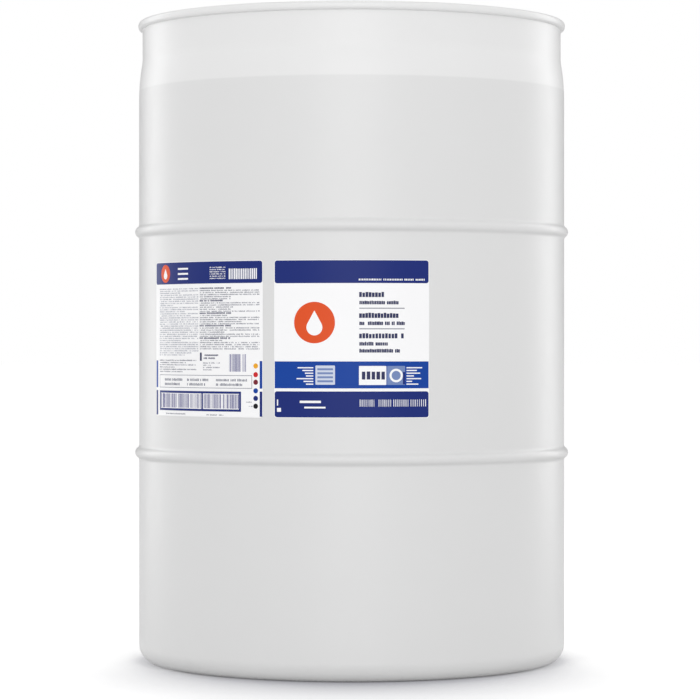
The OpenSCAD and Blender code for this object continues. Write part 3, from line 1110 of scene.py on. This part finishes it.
# %% Styles of marks: pitch, height, least and most width, least height, chance of a gap
HEAVY = (4.0, 6.8, 0.78, 0.92, 0.82, 0.05)
LIGHT = (2.2, 4.9, 0.78, 0.98, 0.82, 0.07)
SMALL = (1.25, 1.7, 0.45, 0.80, 0.65, 0.15)
FINE_HEAD = (1.6, 2.3, 0.60, 0.85, 0.80, 0.10)
BOXED = (2.1, 3.4, 0.50, 0.80, 0.75, 0.10)
EVEN = (2.1, 2.4, 0.50, 0.80, 0.90, 0.05)
STROKES = (2.5, 9.2, 0.24, 0.44, 0.97, 0.07)
BLOCKS = (6.2, 10.5, 0.66, 0.78, 0.96, 0.0)
TALL_MARKS = (2.6, 14.0, 0.50, 0.76, 0.97, 0.04)
THIN_BARS = (1.9, 23.0, 0.20, 0.80, 1.0, 0.04)
WIDE_BARS = (2.3, 18.6, 0.20, 0.86, 1.0, 0.05)

film_half = 103.0
film_high = label_h / MM
inset = 0.8
edge_l = -film_half + inset
edge_r = film_half - inset
top_edge = film_high - inset

front_fields = [
    ("white", None, rounded(-film_half, film_half, 0, film_high, 4)),
    ("navy", 0, rounded(edge_l, edge_r, 175.5, top_edge, 3.2)),
    ("blue", 0, bar(edge_l, edge_r, 38.6, 73.7)),
    ("navy", 0, rounded(edge_l, edge_r, inset, 34.7, 3.2)),
    ("orange", 0, disc(-48.6, 124.2, 27.0)),
    ("white", 1, drop(-48.6, 118.0, 10.5)),
    ("grey", 0, bar(9.9, 69.5, 142.3, 143.4)),
    ("grey", 0, bar(9.9, 69.5, 115.5, 116.6)),
    ("pale", 1, rounded(-47.2, -21.6, 43.4, 68.4, 1.0)),
    ("white", 1, rounded(9.5, 45.2, 43.1, 67.8, 0.8)),
    ("steel", 1, rounded(46.2, 70.1, 43.1, 67.8, 0.8)),
    ("white", 2, disc(58.2, 55.4, 8.8)),
    ("steel", 3, disc(58.2, 55.4, 6.0)),
    ("navy", 2, bar(67.2, 70.0, 43.8, 60.0)),
]
left_starts = (-70.9, -64.4, -61.1, -59.7, -72.3, -62.9, -59.7)
right_stops = (93.3, 86.0, 90.5, 82.0, 92.0, 79.5, 88.0)
for i, (start, stop) in enumerate(zip(left_starts, right_stops)):
    up = 64.7 - 3.55 * i
    front_fields.append(("white", 1, bar(start, -50.0, up, up + 1.5)))
    front_fields.append(("white", 1, bar(72.0, stop, up, up + 1.5)))
for i in range(4):
    up = 46.6 + 5.2 * i
    front_fields.append(("steel", 2, bar(-44.6, -24.2, up, up + 2.6)))
for place in ((-68.0, -40.0, 19.6, 22.6), (-62.0, -34.0, 12.6, 14.8),
              (-99.0, -97.4, 16.0, 24.0), (-99.0, -93.5, 8.0, 13.0)):
    front_fields.append(("white", 1, bar(*place)))

front_lines = [
    ("white", 1, EVEN, [(10, 38, 178.9), (42, 66, 178.9), (70, 96, 178.9)]),
    ("dark", 0, HEAVY, [(11.5, 40.5, 157.3), (11.5, 59.5, 130.2), (11.5, 66.5, 103.7)]),
    ("dark", 0, LIGHT, [(11, 60.3, 147.9), (11, 68.7, 120.9), (11, 46.1, 94.3), (11, 62.0, 85.2)]),
    ("white", 1, STROKES, [(11, 29, 15.0), (33, 51, 15.0), (55, 74, 15.0), (78, 98, 15.0)]),
    ("dark", 2, BLOCKS, [(15.5, 41, 50.2)]),
]
front_sheet = lay_label("front_label_sheet", 0.0, front_fields, front_lines)
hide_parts("front_label")

# %% [markdown]
# ## The side label
# It is turned to the left. Below a navy head it holds two columns of rows, an outlined box, rows
# of upright bars and a line of coloured dots.

# %% Lay out the side label
label_gap = 16.0
side_turn = -(2 * film_half + label_gap) * MM / body_r
side_fields = [
    ("white", None, rounded(-film_half, film_half, 0, film_high, 4)),
    ("navy", 0, rounded(edge_l, edge_r, 176.2, top_edge, 3.2)),
    ("orange", 1, disc(-75.0, 190.4, 12.0)),
    ("white", 2, drop(-75.0, 187.6, 4.6)),
    ("navy", 0, bar(4.2, 7.2, 7.4, 33.9)),
    ("dark", 0, bar(1.6, 5.0, 74.0, 85.0)),
]
for up in (195.2, 188.5, 181.8):
    side_fields.append(("white", 1, bar(-44, -22, up, up + 2.4)))


def frame_of(ink, left, right, low, high, width):
    """Four bars round a box."""
    between = (low + width, high - width)
    return [(ink, 0, bar(*place)) for place in (
        (left, right, low, low + width), (left, right, high - width, high),
        (left, left + width, *between), (right - width, right, *between))]


side_fields += frame_of("navy", -91.5, 70.7, 7.4, 33.9, 3.0)
side_fields += frame_of("grey", -91.5, 87.3, 37.9, 55.2, 0.7)
DOTS = (("yellow", 67.6), ("red", 56.2), ("maroon", 46.3), ("blue", 35.1), ("navy", 25.2),
        ("black", 15.0))
for ink, up in DOTS:
    side_fields.append((ink, 0, disc(92.6, up, 3.4, 20)))
for ink, low, high in (("blue", 38.0, 74.1), ("navy", 1.2, 34.1)):
    side_fields.append((ink, 0, bar(98.5, edge_r, low, high)))
    side_fields.append((ink, 0, bar(edge_l, -97.0, low, high)))

draw = random.Random(11)
FULL_ROWS = 0.72
SHORT_ROW = (0.35, 0.85)
HEAD_STEP = 6
HEAD_SHARE = 0.55


def column_lines(left, right, low, high, spacing):
    """Baselines of a block of rows, with a shorter one now and then."""
    places = []
    up = high - spacing
    while up >= low:
        share = 1.0 if draw.random() < FULL_ROWS else draw.uniform(*SHORT_ROW)
        places.append((left, left + (right - left) * share, up))
        up -= spacing
    return places


left_lines = column_lines(-91.5, -2.1, 78.7, 171.7, 2.75)
right_lines = column_lines(1.7, 97.6, 88.0, 171.7, 2.75)
low_lines = column_lines(-91.5, -6.0, 57.5, 76.7, 3.0) + column_lines(8.0, 36.0, 60.0, 73.5, 3.0)
low_lines += [(-73.0, -28.0, 2.4), (14.0, 42.0, 2.0), (79.0, 87.5, 19.5), (83.0, 87.5, 14.0)]
boxed_lines = []
for left, right in ((-76.0, -35.0), (-23.0, 16.0), (31.0, 79.0)):
    boxed_lines += [(left, right, 47.2), (left, left + 0.85 * (right - left), 41.2)]
block_lines = column_lines(20.0, 45.4, 181.0, 199.5, 2.9)
heads = [place for i, place in enumerate(right_lines) if i % HEAD_STEP == 0]
body_lines = [place for i, place in enumerate(right_lines) if i % HEAD_STEP != 0]
short_heads = [(left, left + HEAD_SHARE * (right - left), up) for left, right, up in heads]
side_lines = [
    ("ash", 0, SMALL, left_lines),
    ("grey", 0, SMALL, body_lines + low_lines),
    ("dark", 0, FINE_HEAD, short_heads + [(9.0, 35.0, 80.4), (9.0, 28.0, 76.4)]),
    ("grey", 0, BOXED, boxed_lines),
    ("white", 1, SMALL, block_lines),
    ("white", 1, TALL_MARKS, [(52.5, 93.5, 181.5)]),
    ("lilac", 0, THIN_BARS, [(52.5, 79.5, 60.0)]),
    ("lilac", 0, WIDE_BARS, [(-86.5, 2.5, 11.4), (9.5, 66.5, 11.4)]),
]
side_sheet = lay_label("side_label_sheet", side_turn, side_fields, side_lines)
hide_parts("side_label")
